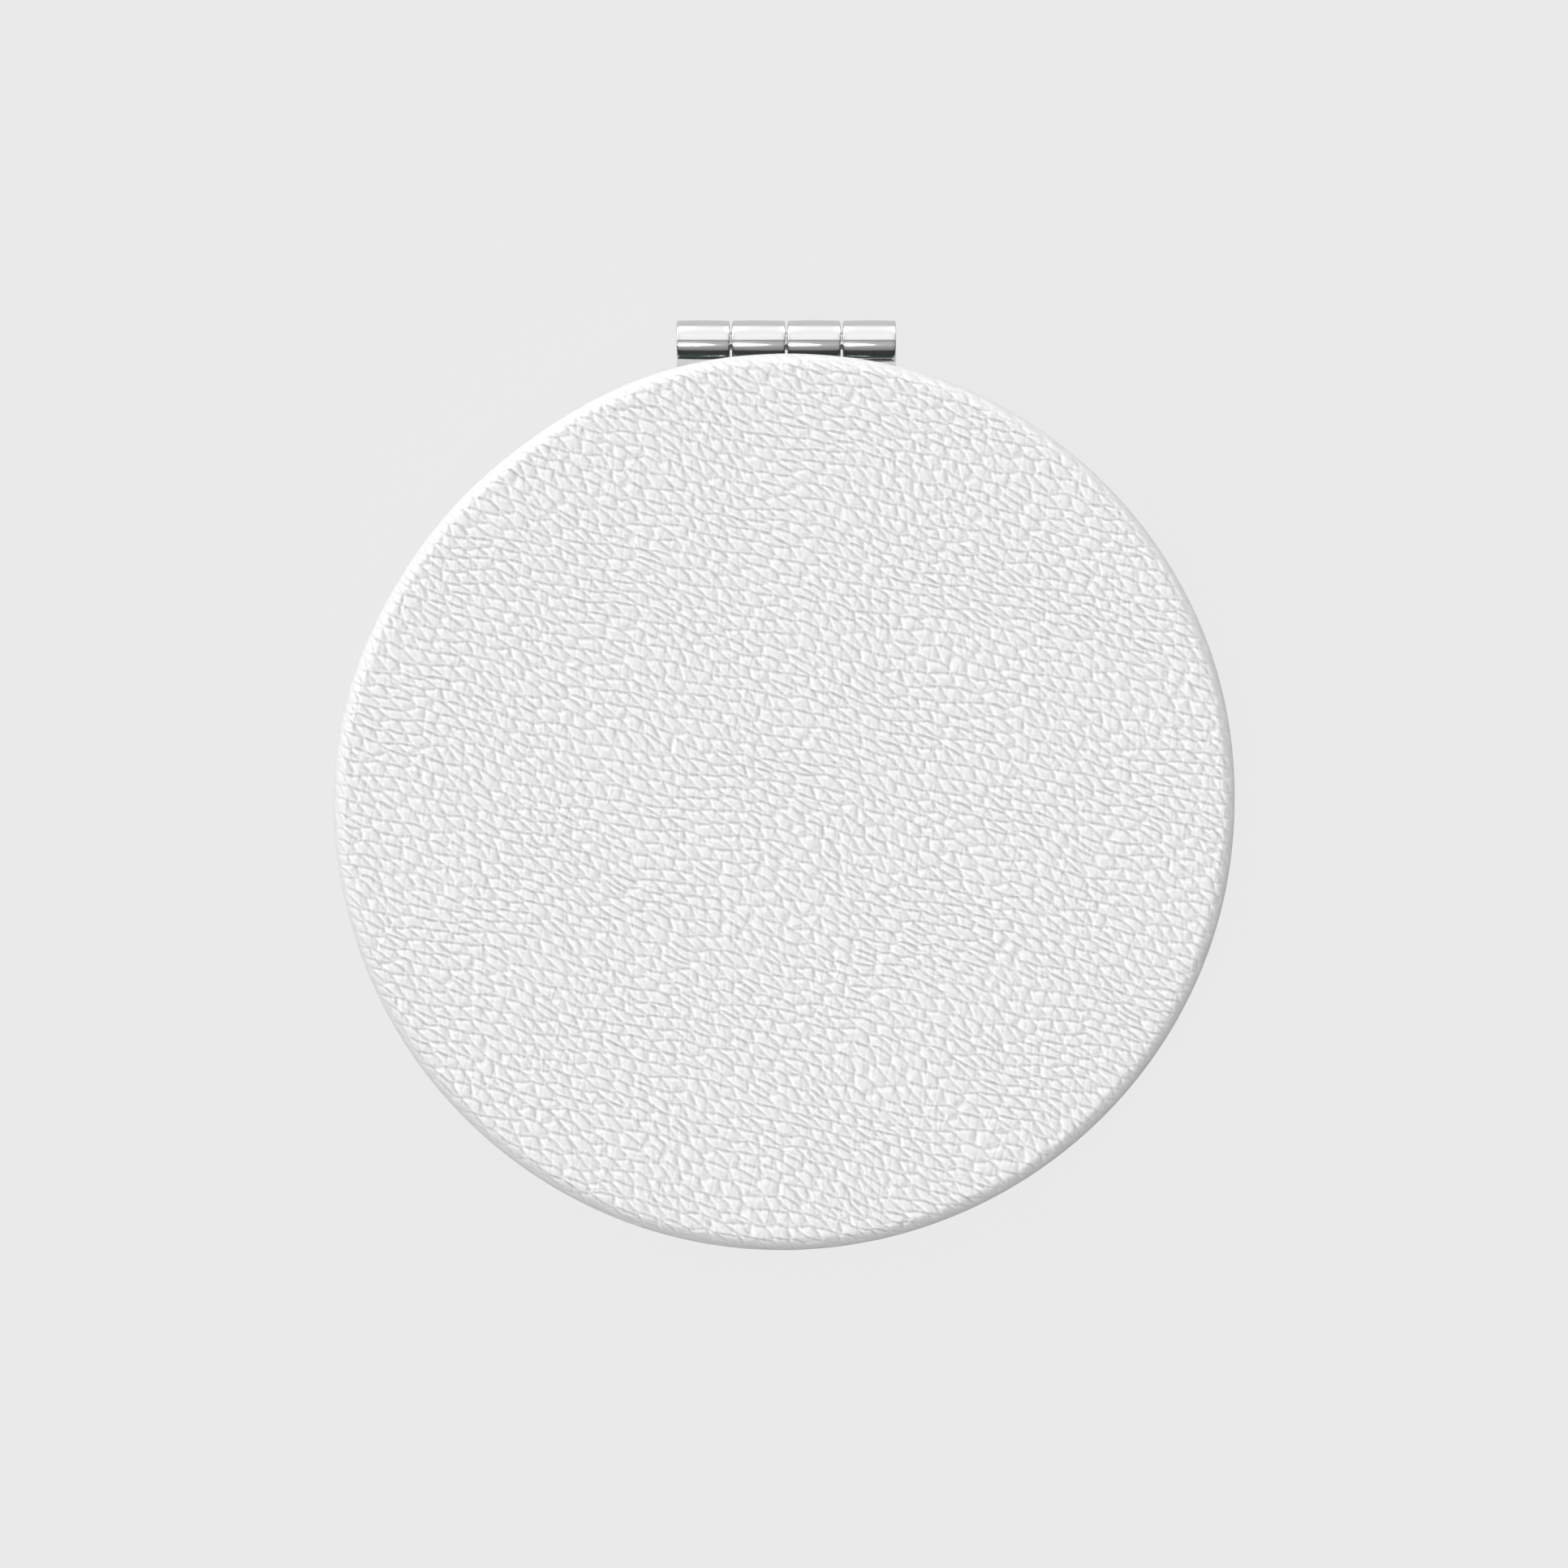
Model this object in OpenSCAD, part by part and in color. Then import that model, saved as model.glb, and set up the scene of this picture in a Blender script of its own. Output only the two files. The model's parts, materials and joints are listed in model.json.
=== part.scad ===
// Round compact mirror: two leather-wrapped halves on a four-knuckle hinge.
// Lengths are in millimetres. The shut case lies on its base with +Z up and the
// hinge towards +Y. The origin is the centre of the base's outer face.

/* [Case] */
// Radius of the case over its leather
case_r = 35; // [30:0.5:42]
// Thickness of the leather around each half
leather_t = 0.65; // [0.5:0.05:0.8]
// Rounding of the leather at the outer face
edge_r = 1.3; // [1:0.05:1.6]
// Rounding of the leather where it turns over the rim
lip_r = 1.2; // [1:0.05:1.4]
// Gap between the two facings when the case is shut
shut_gap = 0.2; // [0.1:0.05:0.4]

/* [Tray] */
// Width of the tray's rim around the mirror
rim_w = 5; // [4.5:0.1:6.5]
// Thickness of the tray's floor behind the mirror
floor_t = 0.9; // [0.7:0.05:1.5]
// Width of the bead that the leather's cut edge meets
bead_w = 0.65; // [0.4:0.05:0.8]
// Thickness of the foam between the tray and the leather
pad_t = 0.8; // [0.5:0.05:1.5]

/* [Mirror] */
// Thickness of the mirror glass
glass_t = 1.6; // [1.3:0.1:2.2]
// Rounding of the ground edge of the glass
arris_r = 0.2; // [0.1:0.05:0.4]
// Depth of the hollow that makes the base mirror magnify
hollow_t = 0.53; // [0.3:0.01:0.8]
// Thickness of the mounting tape where it is thinnest
tape_min_t = 0.22; // [0.15:0.01:0.5]
// Distance from the edge of the glass to the edge of the tape
tape_inset = 2; // [1:0.25:4]

/* [Facing] */
// Thickness of the facing ring, and of the hinge leaf that lies flush in it
facing_t = 0.6; // [0.45:0.05:0.75]
// Width by which the facing ring laps over the glass
facing_lap = 0.8; // [0.4:0.1:1.5]

/* [Hinge] */
// Radius of the hinge barrel
barrel_r = 1.64; // [1.45:0.02:1.9]
// Length of the hinge barrel, and width of its leaves
barrel_w = 17.2; // [15:0.2:20]
// Number of knuckles, shared out between the lid and the base by turns
knuckle_count = 4; // [2:1:6]
// Gap between two knuckles, and round each knuckle in the other half's leaf
knuckle_gap = 0.18; // [0.12:0.01:0.3]
// Rounding of the knuckles' outer edges
knuckle_round = 0.15; // [0.08:0.01:0.25]
// Distance from the hinge barrel to the leather
barrel_gap = 0.18; // [0.12:0.01:0.4]
// Radius of the hinge pin
pin_r = 0.7; // [0.5:0.05:0.9]
// Depth of the pin's ends inside the barrel
pin_recess = 0.15; // [0.05:0.05:0.4]
// Distance from the leaf's inner edge to the middle of its rivets
leaf_margin = 1.5; // [1.3:0.05:1.8]
// Rounding of the leaf's inner corners
leaf_round = 0.8; // [0.4:0.1:1.2]

/* [Rivets] */
// Distance of each rivet from the leaf's nearer side
rivet_inset = 3.1; // [2.4:0.1:4.6]
// Radius of the countersunk head
head_r = 1.15; // [1:0.05:1.25]
// Depth of the countersunk head
head_t = 0.45; // [0.3:0.05:0.5]
// Radius of the shank
shank_r = 0.6; // [0.4:0.05:0.75]
// Depth to which the shank is set in the tray
rivet_bite = 1.6; // [1:0.1:2]

/* [Magnet] */
// Length of the closing magnet
magnet_l = 8; // [5:0.5:10]
// Width of the closing magnet
magnet_w = 3; // [2:0.1:3.2]
// Thickness of the closing magnet
magnet_t = 1.4; // [1:0.1:1.8]

/* [Hidden] */

// Clearances
wrap_fit = 0.03; // between the leather's inside wall and what it wraps
seam_fit = 0.05; // between the leather's cut edge and the bead
glass_fit = 0.3; // between the glass and its pocket
glass_gap = 0.05; // between the glass and the facing over it
pin_fit = 0.03; // between the pin and the lid's knuckles
rivet_fit = 0.02; // around the rivets
magnet_fit = 0.05; // around the magnet
notch_fit = 0.12; // between the leaf and the facing
over = 0.5; // how far a cut runs past the face that it opens

// Levels, measured from the plane where the halves meet towards the outer face
facing_d = shut_gap / 2;
hem_d = facing_d + facing_t;
rim_d = hem_d + leather_t;
glass_d = hem_d + glass_gap;
glass_back_d = glass_d + glass_t;
tape_t = tape_min_t + hollow_t;
floor_d = glass_back_d + tape_t;
tray_d = floor_d + floor_t;
pad_d = tray_d + pad_t;
case_d = pad_d + leather_t;

// Radii
cavity_r = case_r - leather_t;
core_r = cavity_r - wrap_fit;
cavity_lip_r = lip_r - leather_t;
cavity_edge_r = edge_r - leather_t;
pocket_r = core_r - rim_w;
bead_r = pocket_r + bead_w;
hem_r = bead_r + seam_fit;
flat_r = case_r - lip_r;
rim_mid_r = (bead_r + core_r - cavity_lip_r) / 2;
mirror_r = pocket_r - glass_fit;
tape_r = mirror_r - tape_inset;
facing_in_r = mirror_r - facing_lap;

// Sphere of the magnifying mirror, and the steps in which its section is drawn
curve_r = (mirror_r * mirror_r + hollow_t * hollow_t) / (2 * hollow_t);
curve_steps = 24;

// Hinge
lip_reach = barrel_r + barrel_gap + lip_r;
lip_d = hem_d + lip_r;
axis_y = case_r - lip_r + sqrt(max(lip_reach * lip_reach - lip_d * lip_d, 0));
axis_z = case_d;
knuckle_pitch = (barrel_w + knuckle_gap) / knuckle_count;
knuckle_w = knuckle_pitch - knuckle_gap;
rivet_x = barrel_w / 2 - rivet_inset;
rivet_y = sqrt(rim_mid_r * rim_mid_r - rivet_x * rivet_x);
leaf_y = rivet_y - leaf_margin;
pin_w = barrel_w - 2 * pin_recess;
pin_round = pin_recess;
rivet_l = facing_t + leather_t + rivet_bite;

// Colours
leather_colour = [0.93, 0.93, 0.93];
foam_colour = [0.75, 0.75, 0.73];
plastic_colour = [0.82, 0.82, 0.8];
magnet_colour = [0.5, 0.5, 0.52];
tape_colour = [0.35, 0.36, 0.38];
mirror_colour = [0.72, 0.8, 0.85];
chrome_colour = [0.66, 0.67, 0.69];
steel_colour = [0.58, 0.58, 0.6];

disc_fn = 180;
$fn = 48;

// Start of a knuckle along the barrel, counted from the left end
function knuckle_x(i) = i * knuckle_pitch - barrel_w / 2;

// Depth of the magnifying mirror's hollow at a radius
function hollow_at(r) = sqrt(curve_r * curve_r - r * r) - (curve_r - hollow_t);

// Section points of a hollow face, from the middle out
function hollow_face(d) = [
    for (i = [0 : curve_steps])
        let (r = mirror_r * i / curve_steps)
            [r, d + hollow_at(r)]
];

// The same points from the edge in
function reversed(points) = [for (i = [1 : len(points)]) points[len(points) - i]];

// Placing a half that is drawn with its meeting plane at zero and its back upwards
module lid_side() {
    translate([0, 0, axis_z])
        children();
}

module base_side() {
    translate([0, 0, axis_z])
        mirror([0, 0, 1])
            children();
}

module turned() {
    rotate_extrude($fn = disc_fn)
        children();
}

// Waste outside a round corner whose centre is at the origin
module corner_waste(r) {
    difference() {
        square(r + over);
        circle(r = r);
    }
}

// Half section of a disc from level d0 to d1, with both of its outer corners round
module round_section(r, d0, d1, near_r, far_r) {
    difference() {
        translate([0, d0])
            square([r, d1 - d0]);
        translate([r - near_r, d0 + near_r])
            mirror([0, 1])
                corner_waste(near_r);
        translate([r - far_r, d1 - far_r])
            corner_waste(far_r);
    }
}

// Half section of what the leather wraps: the tray and the foam on its back
module core_section() {
    round_section(core_r, rim_d, pad_d, cavity_lip_r, cavity_edge_r);
}

// Leather that covers the outer face, wraps the wall and is folded over the rim
module cover() {
    color(leather_colour)
        difference() {
            turned()
                difference() {
                    round_section(case_r, hem_d, case_d, lip_r, edge_r);
                    round_section(cavity_r, rim_d, pad_d, cavity_lip_r, cavity_edge_r);
                    square([hem_r, rim_d + over]);
                }
            rivets_placed()
                rivet(rivet_fit);
        }
}

module foam_pad() {
    color(foam_colour)
        turned()
            intersection() {
                core_section();
                translate([0, tray_d])
                    square([case_r, pad_t]);
            }
}

// Rigid tray with a pocket for the mirror and a bead round its mouth
module tray() {
    color(plastic_colour)
        difference() {
            turned()
                difference() {
                    union() {
                        intersection() {
                            core_section();
                            square([case_r, tray_d]);
                        }
                        translate([pocket_r, hem_d])
                            square([bead_w, leather_t + bead_w]);
                    }
                    square([pocket_r, floor_d]);
                }
            magnet_block(magnet_fit, over);
            rivets_placed()
                rivet(rivet_fit);
        }
}

// Bar magnet in the front of the rim, under the folded leather
module magnet_block(fit, lift) {
    translate([-magnet_l / 2 - fit, -rim_mid_r - magnet_w / 2 - fit, rim_d - lift])
        cube([magnet_l + 2 * fit, magnet_w + 2 * fit, magnet_t + fit + lift]);
}

module magnet() {
    color(magnet_colour)
        magnet_block(0, 0);
}

module flat_tape() {
    color(tape_colour)
        translate([0, 0, glass_back_d])
            cylinder(r = tape_r, h = tape_t, $fn = disc_fn);
}

module hollow_tape() {
    color(tape_colour)
        turned()
            intersection() {
                polygon(concat(hollow_face(glass_back_d), [[mirror_r, floor_d], [0, floor_d]]));
                square([tape_r, floor_d]);
            }
}

module flat_mirror() {
    color(mirror_colour)
        turned()
            round_section(mirror_r, glass_d, glass_back_d, arris_r, arris_r);
}

module hollow_mirror() {
    color(mirror_colour)
        turned()
            polygon(concat(hollow_face(glass_d), reversed(hollow_face(glass_back_d))));
}

// Outline of a leaf from its inner edge to the hinge axis, grown by a clearance
module leaf_outline(fit) {
    half_w = barrel_w / 2 + fit;
    inner_y = leaf_y - fit;
    corner_r = leaf_round + fit;
    difference() {
        translate([-half_w, inner_y])
            square([2 * half_w, axis_y - inner_y]);
        for (side = [0, 1])
            mirror([side, 0])
                translate([half_w - corner_r, inner_y + corner_r])
                    mirror([0, 1])
                        corner_waste(corner_r);
    }
}

// Leather ring that hides the folded hem and the edge of the glass
module facing_ring() {
    color(leather_colour)
        difference() {
            translate([0, 0, facing_d])
                cylinder(r = flat_r, h = facing_t, $fn = disc_fn);
            cylinder(r = facing_in_r, h = hem_d + over, $fn = disc_fn);
            linear_extrude(height = hem_d + over)
                leaf_outline(notch_fit);
        }
}

// A solid of revolution along the hinge axis
module along_axis(r, x0, x1, round_r) {
    translate([0, axis_y, 0])
        rotate([0, 90, 0])
            turned()
                round_section(r, x0, x1, round_r, round_r);
}

module axis_cylinder(r, x0, x1) {
    translate([x0, axis_y, 0])
        rotate([0, 90, 0])
            cylinder(r = r, h = x1 - x0, $fn = disc_fn);
}

// Hinge leaf that carries every second knuckle, from the one numbered first
module hinge_leaf(first, bore_r) {
    color(chrome_colour)
        difference() {
            union() {
                translate([0, 0, facing_d])
                    linear_extrude(height = facing_t)
                        leaf_outline(0);
                for (i = [first : 2 : knuckle_count - 1])
                    along_axis(barrel_r, knuckle_x(i), knuckle_x(i) + knuckle_w, knuckle_round);
            }
            for (i = [1 - first : 2 : knuckle_count - 1])
                axis_cylinder(
                    barrel_r + knuckle_gap,
                    knuckle_x(i) - knuckle_gap,
                    knuckle_x(i) + knuckle_w + knuckle_gap
                );
            axis_cylinder(bore_r, -barrel_w / 2 - over, barrel_w / 2 + over);
            rivets_placed()
                rivet(rivet_fit);
        }
}

// Countersunk rivet, drawn with its head at the leaf's face
module rivet(fit) {
    translate([0, 0, facing_d])
        union() {
            cylinder(r1 = head_r + fit, r2 = shank_r + fit, h = head_t);
            cylinder(r = shank_r + fit, h = rivet_l + fit);
        }
}

module rivet_placed(side) {
    translate([side * rivet_x, rivet_y, 0])
        children();
}

module rivets_placed() {
    for (side = [-1, 1])
        rivet_placed(side)
            children();
}

module leaf_rivet(side) {
    color(steel_colour)
        rivet_placed(side)
            rivet(0);
}

module lid_cover() { lid_side() cover(); }
module lid_foam_pad() { lid_side() foam_pad(); }
module lid_tray() { lid_side() tray(); }
module lid_magnet() { lid_side() magnet(); }
module lid_mirror_tape() { lid_side() flat_tape(); }
module lid_mirror() { lid_side() flat_mirror(); }
module lid_facing_ring() { lid_side() facing_ring(); }
module lid_hinge_leaf() { lid_side() hinge_leaf(0, pin_r + pin_fit); }
module lid_rivet_left() { lid_side() leaf_rivet(-1); }
module lid_rivet_right() { lid_side() leaf_rivet(1); }
module base_cover() { base_side() cover(); }
module base_foam_pad() { base_side() foam_pad(); }
module base_tray() { base_side() tray(); }
module base_magnet() { base_side() magnet(); }
module base_mirror_tape() { base_side() hollow_tape(); }
module base_mirror() { base_side() hollow_mirror(); }
module base_facing_ring() { base_side() facing_ring(); }
module base_hinge_leaf() { base_side() hinge_leaf(1, pin_r); }
module base_rivet_left() { base_side() leaf_rivet(-1); }
module base_rivet_right() { base_side() leaf_rivet(1); }

// Pin that the base's knuckles grip and the lid's knuckles turn on
module hinge_pin() {
    color(steel_colour)
        base_side()
            along_axis(pin_r, -pin_w / 2, pin_w / 2, pin_round);
}

lid_cover();
lid_foam_pad();
lid_tray();
lid_magnet();
lid_mirror_tape();
lid_mirror();
lid_facing_ring();
lid_hinge_leaf();
lid_rivet_left();
lid_rivet_right();
base_cover();
base_foam_pad();
base_tray();
base_magnet();
base_mirror_tape();
base_mirror();
base_facing_ring();
base_hinge_leaf();
base_rivet_left();
base_rivet_right();
hinge_pin();
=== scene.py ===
# %% [markdown]
# # A leather compact mirror
# The object is a round pocket mirror. Two shallow halves are wrapped in white pebbled leather and
# turn on a short chromed hinge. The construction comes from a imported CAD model, and this notebook
# gives each piece its finish and makes the soft pieces again with the detail that leather has.
# Everything is in metres and in the CAD model's own frame, so no piece needs fitting.

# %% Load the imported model
import json
import math

import bmesh
import bpy
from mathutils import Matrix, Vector


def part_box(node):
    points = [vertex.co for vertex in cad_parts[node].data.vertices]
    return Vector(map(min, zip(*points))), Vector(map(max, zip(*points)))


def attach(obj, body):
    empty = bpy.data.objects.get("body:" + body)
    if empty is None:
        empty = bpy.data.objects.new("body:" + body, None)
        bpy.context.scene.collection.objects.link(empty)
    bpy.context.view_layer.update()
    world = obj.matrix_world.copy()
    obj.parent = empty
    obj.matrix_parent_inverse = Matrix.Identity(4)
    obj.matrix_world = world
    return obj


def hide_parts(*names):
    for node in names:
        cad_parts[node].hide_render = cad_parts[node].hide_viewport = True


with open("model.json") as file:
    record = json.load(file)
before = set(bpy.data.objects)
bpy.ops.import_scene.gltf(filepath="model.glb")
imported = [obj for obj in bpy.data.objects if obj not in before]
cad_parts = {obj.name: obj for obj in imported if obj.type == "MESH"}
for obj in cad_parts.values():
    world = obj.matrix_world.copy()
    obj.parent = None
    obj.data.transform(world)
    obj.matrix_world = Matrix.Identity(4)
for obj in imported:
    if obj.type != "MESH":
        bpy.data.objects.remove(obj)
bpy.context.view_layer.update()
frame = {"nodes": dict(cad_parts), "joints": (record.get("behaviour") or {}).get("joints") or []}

MM = 0.001
nodes = frame["nodes"]

# %% [markdown]
# ## Sizes
# A maker reads sizes off the parts that are already there. Each half is measured from the plane
# where the halves meet, which is also the height of the hinge's axis. A size is then a distance
# from that plane towards the outer face, and it serves the lid and the base alike. Only the few
# sizes that no node's box shows are given here. The edge is rounded as tightly as the photograph
# shows it, which is a little tighter than the CAD model has it.

# %% Read the sizes off the CAD nodes
AXIS = Vector(frame["joints"][0]["pos_m"])
cover_low, cover_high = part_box("lid_cover")
pad_low, pad_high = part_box("lid_foam_pad")
facing_low, facing_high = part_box("lid_facing_ring")

case_r = cover_high.x
case_d = cover_high.z - AXIS.z
hem_d = cover_low.z - AXIS.z
facing_d = facing_low.z - AXIS.z
facing_r = facing_high.x
pad_d = pad_high.z - AXIS.z
tray_d = pad_low.z - AXIS.z
leather_t = case_d - pad_d
lip_r = case_r - facing_r

edge_r = 0.96 * MM
hem_r = 30.02 * MM
window_r = 28.22 * MM
print("Case radius %.2f mm, half height %.2f mm, leather %.2f mm"
      % (case_r / MM, case_d / MM, leather_t / MM))


# %% [markdown]
# ## Small helpers
# Colours are easiest to name as the hex values that a paint chart gives. Those are sRGB, and
# Blender's nodes expect linear light, so one function turns them round. Another adds a node with
# its settings and its links, which keeps each material down to a few readable lines.

# %% Helpers for colours and nodes
def linear(value):
    return value / 12.92 if value <= 0.04045 else ((value + 0.055) / 1.055) ** 2.4


def colour(text):
    parts = [int(text[i : i + 2], 16) / 255 for i in (1, 3, 5)]
    return (*[linear(part) for part in parts], 1.0)


def connect(tree, node, inputs):
    """Sets a node's inputs. Each is a value, an output to link, or a node with one main output."""
    for name, value in inputs.items():
        if isinstance(value, bpy.types.Node):
            value = next(output for output in value.outputs if output.enabled)
        if isinstance(value, bpy.types.NodeSocket):
            tree.links.new(value, node.inputs[name])
        else:
            node.inputs[name].default_value = value


def add(tree, kind, inputs=None, **settings):
    """Adds a node with its settings and its inputs."""
    node = tree.nodes.new(kind)
    for name, value in settings.items():
        setattr(node, name, value)
    connect(tree, node, inputs or {})
    return node


# A mix node takes its two colours in these sockets
MIX_A = 6
MIX_B = 7
COLOURS = {"data_type": "RGBA"}
# With this setting a map range rises in a soft S
SMOOTH = {"interpolation_type": "SMOOTHSTEP"}


def total(tree, parts):
    """Adds up values, each times its own factor."""
    found = None
    for value, factor in parts:
        inputs = {0: value, 1: factor, 2: 0.0 if found is None else found}
        found = add(tree, "ShaderNodeMath", inputs, operation="MULTIPLY_ADD")
    return found


def new_material(name):
    """Makes a material and returns it with its node tree and its main shader."""
    material = bpy.data.materials.new(name)
    material.use_nodes = True
    tree = material.node_tree
    return material, tree, tree.nodes["Principled BSDF"]


# %% [markdown]
# ## The camera
# The photograph looks straight down on the shut case from about half a metre, with the hinge at
# the top. A long lens at that distance keeps the wall of the case out of sight. The height gives
# the case its share of the frame, and two small shifts put it in its place there.

# %% Place the camera
CAMERA_HEIGHT = 467 * MM
CAMERA_SHIFT_X = -0.18 * MM
CAMERA_SHIFT_Y = 1.39 * MM
LENS = 135
SENSOR_WIDTH = 36

eye = bpy.data.cameras.new("camera")
eye.lens = LENS
eye.sensor_width = SENSOR_WIDTH
camera = bpy.data.objects.new("camera", eye)
camera.location = (CAMERA_SHIFT_X, CAMERA_SHIFT_Y, CAMERA_HEIGHT)
bpy.context.scene.collection.objects.link(camera)
bpy.context.scene.camera = camera
print("The camera looks down from", round(CAMERA_HEIGHT / MM), "mm")

# %% [markdown]
# ## The studio
# Polished chrome is a record of the room around it. A round bar that lies along X shows one slice
# of the room, from the back, over the top, to the front. So the room is described as a band of
# tones by the angle from straight up, positive towards the back. It is bright from overhead
# towards the back, has a narrow darker line where the camera hangs, is about half as bright in
# front of it, and is dark low down in front and at the back. The tones were matched to
# what the barrel shows. Leather takes the sum of all that, which makes its rim light at the back
# and dark at the front. Lamps and cards could stand round the case instead, but light that
# depends on the direction alone shows every knuckle the same slice, as in the photograph.

# %% The room's tones
# Degrees from straight up, and the tone there
ROOM = [
    (-80, 0.055), (-70, 0.05), (-62, 0.04), (-58, 0.09), (-54, 0.20), (-50, 0.30), (-45, 0.30),
    (-40, 0.35), (-35, 0.39), (-30, 0.46), (-24, 0.54), (-18, 0.52), (-12, 0.48), (-6, 0.44),
    (0, 0.30), (4, 0.70), (7, 1.02), (31, 1.06), (45, 0.99), (55, 0.96), (60, 0.87), (65, 0.72),
    (70, 0.52), (76, 0.28), (82, 0.14), (92, 0.16), (108, 0.50), (135, 0.59), (170, 0.27),
]
# Towards both sides the room fades to this share of its tones
SIDE_TONE = 0.5
SIDE_FROM = 0.12
SIDE_TO = 0.75
# A ramp's colours end at one, so it holds the tones as shares of this one
ROOM_TOP = 1.1
BACKDROP = colour("#EAEAEA")

scene = bpy.context.scene
scene.view_settings.view_transform = "Standard"
world = bpy.data.worlds.new("studio")
world.use_nodes = True
scene.world = world
room = world.node_tree
room.nodes.clear()

way = add(room, "ShaderNodeTexCoord").outputs["Generated"]
axes = add(room, "ShaderNodeSeparateXYZ", {0: way})
tilt = add(room, "ShaderNodeMath", {0: axes.outputs["Y"], 1: axes.outputs["Z"]},
           operation="ARCTAN2")
turn_share = add(room, "ShaderNodeMapRange", {
    "Value": tilt, "From Min": -math.pi, "From Max": math.pi})
tones = add(room, "ShaderNodeValToRGB", {0: turn_share})
ramp = tones.color_ramp
ramp.elements.remove(ramp.elements[0])
for index, (angle, tone) in enumerate(ROOM):
    turned = 0.5 + angle / 360
    stop = ramp.elements[0] if index == 0 else ramp.elements.new(turned)
    stop.position = turned
    stop.color = (tone / ROOM_TOP, tone / ROOM_TOP, tone / ROOM_TOP, 1)
print("The room has", len(ramp.elements), "tones")

# %% [markdown]
# Lights are added to the room. Low strips stand along the back, and the widest and brightest one,
# at the back left, lifts the leather's edge there almost to white. A soft box hangs in front on
# the left, 25 degrees from straight up, with a weak glow round it. It draws the pebbles of the
# leather, and the knuckles of the hinge show it as a bright streak that ends where the box ends.
# All of them have soft edges, so they are drawn in the room with bell curves and smooth steps.
# The camera itself sees the plain pale backdrop in place of the room.

# %% The strips and the soft box
# Azimuth and spread in degrees, and the light
STRIPS = [(140, 25, 3.9), (110, 8, 2.6), (70, 8, 2.6), (52, 16, 1.9)]
# Degrees above the horizon, and the spread up and down
STRIP_HEIGHT = 8
STRIP_DEPTH = 13
# Where a light starts, is full, is full for the last time and ends. A tilt is in degrees from
# straight up, and a reach is the direction's X.
BOX_LIGHT = 21.6
BOX_TILT = (-28.5, -26, -23, -20.5)
BOX_REACH = (-0.62, -0.50, -0.08, 0.035)
GLOW_LIGHT = 0.72
GLOW_TILT = (-40, -27, -23, -2)

azimuth = add(room, "ShaderNodeMath", {0: axes.outputs["Y"], 1: axes.outputs["X"]},
              operation="ARCTAN2")
height = add(room, "ShaderNodeMath", {0: axes.outputs["Z"]}, operation="ARCSINE")


def bell(tree, value, middle, spread):
    """A soft bump of height one where the value is near the middle."""
    off = add(tree, "ShaderNodeMath", {0: value, 1: middle}, operation="SUBTRACT")
    share = add(tree, "ShaderNodeMath", {0: off, 1: spread}, operation="DIVIDE")
    square = add(tree, "ShaderNodeMath", {0: share, 1: share}, operation="MULTIPLY")
    half = add(tree, "ShaderNodeMath", {0: square, 1: -0.5}, operation="MULTIPLY")
    return add(tree, "ShaderNodeMath", {0: half}, operation="EXPONENT")


def soft_window(tree, value, steps):
    """One between the two inner steps and zero outside the two outer ones."""
    rise = add(tree, "ShaderNodeMapRange", {
        "Value": value, "From Min": steps[0], "From Max": steps[1]}, **SMOOTH)
    fall = add(tree, "ShaderNodeMapRange", {
        "Value": value, "From Min": steps[3], "From Max": steps[2]}, **SMOOTH)
    return add(tree, "ShaderNodeMath", {0: rise, 1: fall}, operation="MULTIPLY")


def strip(at, spread):
    """A low strip light round one azimuth, both given in degrees."""
    off_middle = add(room, "ShaderNodeMath", {
        0: azimuth, 1: math.radians(at)}, operation="SUBTRACT")
    wrapped = add(room, "ShaderNodeMath", {
        0: off_middle, 1: math.pi, 2: -math.pi}, operation="WRAP")
    along = bell(room, wrapped, 0, math.radians(spread))
    up = bell(room, height, math.radians(STRIP_HEIGHT), math.radians(STRIP_DEPTH))
    return add(room, "ShaderNodeMath", {0: along, 1: up}, operation="MULTIPLY")


box_tilt = soft_window(room, tilt, [math.radians(step) for step in BOX_TILT])
box_reach = soft_window(room, axes.outputs["X"], BOX_REACH)
glow_tilt = soft_window(room, tilt, [math.radians(step) for step in GLOW_TILT])
box = add(room, "ShaderNodeMath", {0: box_tilt, 1: box_reach}, operation="MULTIPLY")
glow = add(room, "ShaderNodeMath", {0: glow_tilt, 1: box_reach}, operation="MULTIPLY")

aside = add(room, "ShaderNodeMath", {0: axes.outputs["X"]}, operation="ABSOLUTE")
band = add(room, "ShaderNodeMapRange", {
    "Value": aside, "From Min": SIDE_FROM, "From Max": SIDE_TO,
    "To Min": ROOM_TOP, "To Max": ROOM_TOP * SIDE_TONE})
lights = [(band, tones.outputs["Color"]), (box, BOX_LIGHT), (glow, GLOW_LIGHT)]
lights += [(strip(at, spread), light) for at, spread, light in STRIPS]
studio = add(room, "ShaderNodeBackground", {"Color": total(room, lights)})
backdrop = add(room, "ShaderNodeBackground", {"Color": BACKDROP})
seen = add(room, "ShaderNodeLightPath")
view = add(room, "ShaderNodeMixShader", {
    0: seen.outputs["Is Camera Ray"], 1: studio, 2: backdrop})
add(room, "ShaderNodeOutputWorld", {"Surface": view})
print("The studio has a room,", len(STRIPS), "strips and a soft box")

# %% [markdown]
# ## The floor
# The case lies on a seamless pale sheet that the photograph shows as one even tone. A real sheet
# would be lit unevenly, so most of what the camera sees is the sheet's tone given off by itself.
# The rest is diffuse, and that part carries the object's faint shadow. To the leather the sheet
# is darker, because in the photograph hardly any light comes back up from it, and polished metal
# sees it a little darker than the camera does, which gives the barrel its dark upper edge.

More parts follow.
